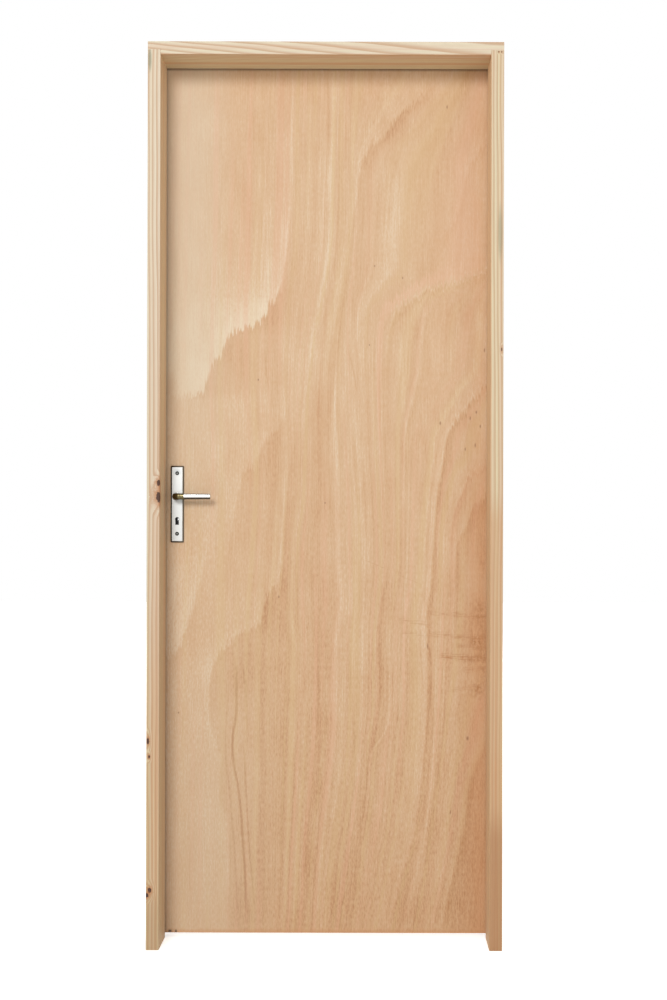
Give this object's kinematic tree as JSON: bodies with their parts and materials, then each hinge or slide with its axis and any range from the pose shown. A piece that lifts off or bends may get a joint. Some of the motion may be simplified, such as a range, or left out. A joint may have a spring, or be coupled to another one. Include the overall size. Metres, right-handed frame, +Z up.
{
  "type": "prehung interior door",
  "caption": "Flush veneered interior door leaf hung on butt hinges in a rebated pine frame, with a mortice lock and lever handles on long plates.",
  "frame": {"origin": "on the outer face of the hinge jamb, at its foot and half-way through its depth", "axes": "+Z up, +X out of the hinge jamb's outer face, +Y towards the side to which the leaf opens"},
  "size_m": [0.834, 0.181, 2.127],
  "materials": {
    "frame_pine": "planed pale pine with knots, bare",
    "leaf_veneer": "sanded flat veneer with vertical grain, bare",
    "leaf_softwood": "planed softwood edge, bare",
    "satin_nickel": "satin bright metal",
    "lock_steel": "plated steel, satin",
    "hinge_steel": "plated steel, satin"
  },
  "bodies": {
    "frame": {"hinge_jamb": "frame_pine", "lock_jamb": "frame_pine", "head": "frame_pine", "strike_plate": "lock_steel", "lower_hinge_frame_flap": "hinge_steel", "middle_hinge_frame_flap": "hinge_steel", "upper_hinge_frame_flap": "hinge_steel", "lower_hinge_pin": "hinge_steel", "middle_hinge_pin": "hinge_steel", "upper_hinge_pin": "hinge_steel"},
    "leaf": {"front_skin": "leaf_veneer", "back_skin": "leaf_veneer", "hinge_stile": "leaf_softwood", "lock_stile": "leaf_softwood", "bottom_rail": "leaf_softwood", "top_rail": "leaf_softwood", "lock_block": "leaf_softwood", "lock_faceplate": "lock_steel", "lock_case": "lock_steel", "latch_bolt": "lock_steel", "dead_bolt": "lock_steel", "front_handle_plate": "satin_nickel", "back_handle_plate": "satin_nickel", "lower_hinge_door_flap": "hinge_steel", "middle_hinge_door_flap": "hinge_steel", "upper_hinge_door_flap": "hinge_steel"},
    "levers": {"front_lever": "satin_nickel", "back_lever": "satin_nickel", "spindle": "lock_steel", "lock_follower": "lock_steel"}
  },
  "joints": [
    {"name": "door_swing", "type": "hinge", "parent": "frame", "child": "leaf", "pos_m": [-0.01375, 0.07625, 0], "axis": [0, 0, -1], "range_deg": [0, 170]},
    {"name": "lever_turn", "type": "hinge", "parent": "leaf", "child": "levers", "pos_m": [-0.777, 0.0525, 1.0635], "axis": [0, 1, 0], "range_deg": [0, 45], "stiffness_Nm_per_rad": 1.2, "springref_deg": -28.65}
  ]
}
